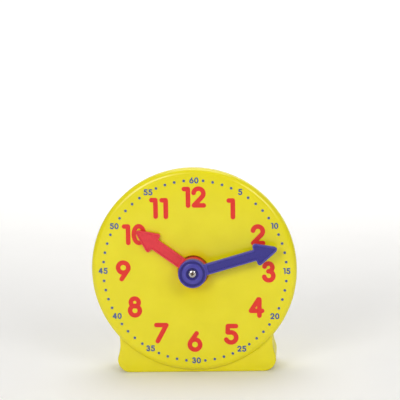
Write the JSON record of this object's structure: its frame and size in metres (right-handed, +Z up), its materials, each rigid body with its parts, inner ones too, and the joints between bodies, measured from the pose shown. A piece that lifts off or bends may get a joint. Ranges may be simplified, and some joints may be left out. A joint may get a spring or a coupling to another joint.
{
  "type": "geared teaching clock",
  "caption": "Small classroom clock for learning to tell time: a round numbered dial on a moulded foot, whose minute hand drives the hour hand through hidden gears.",
  "frame": {"origin": "on the surface the clock stands on, under the hand axis and halfway along the foot's depth", "axes": "+Z up, the dial faces -Y, and +X is to the right as the dial is read"},
  "size_m": [0.1016, 0.0366, 0.1028],
  "materials": {
    "yellow_plastic": "glossy moulded ABS, bright yellow",
    "red_plastic": "satin-gloss moulded ABS, red",
    "blue_plastic": "satin-gloss moulded ABS, blue-violet",
    "gear_plastic": "natural white acetal, as moulded",
    "washer_plastic": "punched nylon sheet",
    "screw_steel": "bright zinc-plated steel",
    "spring_steel": "plain spring steel"
  },
  "bodies": {
    "root": {"front_shell": "yellow_plastic", "rear_shell": "yellow_plastic", "case_screws": "screw_steel", "gear_plate": "gear_plastic", "plate_screws": "screw_steel", "drag_washer": "spring_steel", "idler_pin": "spring_steel", "idler_washer": "washer_plastic", "thrust_washer": "washer_plastic"},
    "minute": {"minute_pinion": "gear_plastic", "minute_arbor": "gear_plastic", "minute_hand": "blue_plastic", "hand_spacer": "washer_plastic", "centre_screw": "screw_steel"},
    "hour": {"hour_wheel": "gear_plastic", "hour_hand": "red_plastic"},
    "idler": {"idler_pinion": "gear_plastic", "idler_wheel": "gear_plastic"}
  },
  "joints": [
    {"name": "minute_turn", "type": "hinge", "parent": "root", "child": "minute", "pos_m": [0, -0.0155, 0.052], "axis": [0, 1, 0], "continuous": true},
    {"name": "hour_turn", "type": "hinge", "parent": "root", "child": "hour", "pos_m": [0, -0.0155, 0.052], "axis": [0, 1, 0], "continuous": true},
    {"name": "idler_turn", "type": "hinge", "parent": "root", "child": "idler", "pos_m": [0, -0.0155, 0.032], "axis": [0, 1, 0], "continuous": true}
  ],
  "couplings": [
    {"joint": "idler_turn", "follows": "minute_turn", "ratio": -0.33333},
    {"joint": "hour_turn", "follows": "minute_turn", "ratio": 0.083333}
  ]
}
